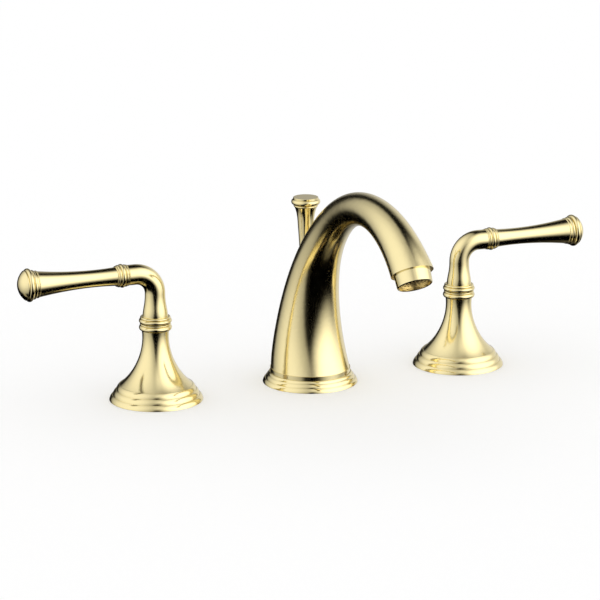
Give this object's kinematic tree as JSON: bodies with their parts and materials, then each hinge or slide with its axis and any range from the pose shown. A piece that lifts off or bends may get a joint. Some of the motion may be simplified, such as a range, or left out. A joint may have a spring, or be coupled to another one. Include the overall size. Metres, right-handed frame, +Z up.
{
  "type": "widespread lavatory faucet",
  "caption": "Deck-mounted basin faucet in three separate groups: an arched spout with a pop-up lift knob, and a lever valve on a bell-shaped base at each side.",
  "frame": {"origin": "the spout's axis on the deck plane, under its base ring", "axes": "+X to the user's right along the row of three groups, -Y towards the user, +Z up; the deck lies below Z = 0"},
  "size_m": [0.3752, 0.1911, 0.2519],
  "materials": {
    "satin_brass": "satin, softly brushed",
    "polished_brass": "polished",
    "raw_brass": "machined",
    "zinc_steel": "zinc plated",
    "black_rubber": "matt",
    "white_nylon": "moulded",
    "white_ceramic": "lapped"
  },
  "bodies": {
    "base": {"hot_escutcheon": "satin_brass", "hot_handle_bushing": "white_nylon", "hot_fixed_disc": "white_ceramic", "hot_disc_seal": "black_rubber", "hot_cartridge_body": "raw_brass", "hot_stem_o_ring": "black_rubber", "hot_bonnet_nut": "raw_brass", "hot_valve_body": "raw_brass", "hot_top_nut": "raw_brass", "hot_deck_gasket": "black_rubber", "hot_rubber_washer": "black_rubber", "hot_deck_washer": "zinc_steel", "hot_mounting_nut": "raw_brass", "cold_escutcheon": "satin_brass", "cold_handle_bushing": "white_nylon", "cold_fixed_disc": "white_ceramic", "cold_disc_seal": "black_rubber", "cold_cartridge_body": "raw_brass", "cold_stem_o_ring": "black_rubber", "cold_bonnet_nut": "raw_brass", "cold_valve_body": "raw_brass", "cold_top_nut": "raw_brass", "cold_deck_gasket": "black_rubber", "cold_rubber_washer": "black_rubber", "cold_deck_washer": "zinc_steel", "cold_mounting_nut": "raw_brass", "spout_body": "satin_brass", "spout_base_ring": "polished_brass", "spout_shank": "raw_brass", "rod_guide": "white_nylon", "spout_gasket": "black_rubber", "spout_rubber_washer": "black_rubber", "spout_deck_washer": "zinc_steel", "spout_mounting_nut": "raw_brass", "waterway_tube": "raw_brass", "supply_tee": "raw_brass", "aerator_housing": "polished_brass", "aerator_insert": "raw_brass", "aerator_washer": "black_rubber"},
    "hot_handle": {"hot_handle_elbow": "satin_brass", "hot_lever_grip": "satin_brass", "hot_end_cap": "polished_brass", "hot_set_screw": "zinc_steel", "hot_valve_stem": "raw_brass", "hot_moving_disc": "white_ceramic"},
    "cold_handle": {"cold_handle_elbow": "satin_brass", "cold_lever_grip": "satin_brass", "cold_end_cap": "polished_brass", "cold_set_screw": "zinc_steel", "cold_valve_stem": "raw_brass", "cold_moving_disc": "white_ceramic"},
    "lift_rod_and_knob": {"lift_knob": "polished_brass", "lift_rod": "polished_brass"}
  },
  "joints": [
    {"name": "hot_handle_turn", "type": "hinge", "parent": "base", "child": "hot_handle", "pos_m": [-0.1016, 0, 0.0791], "axis": [0, 0, 1], "range_deg": [0, 90]},
    {"name": "cold_handle_turn", "type": "hinge", "parent": "base", "child": "cold_handle", "pos_m": [0.1016, 0, 0.0791], "axis": [0, 0, 1], "range_deg": [-90, 0]},
    {"name": "lift_rod_slide", "type": "slide", "parent": "base", "child": "lift_rod_and_knob", "axis": [0, 0, 1], "range_m": [0, 0.025]}
  ]
}
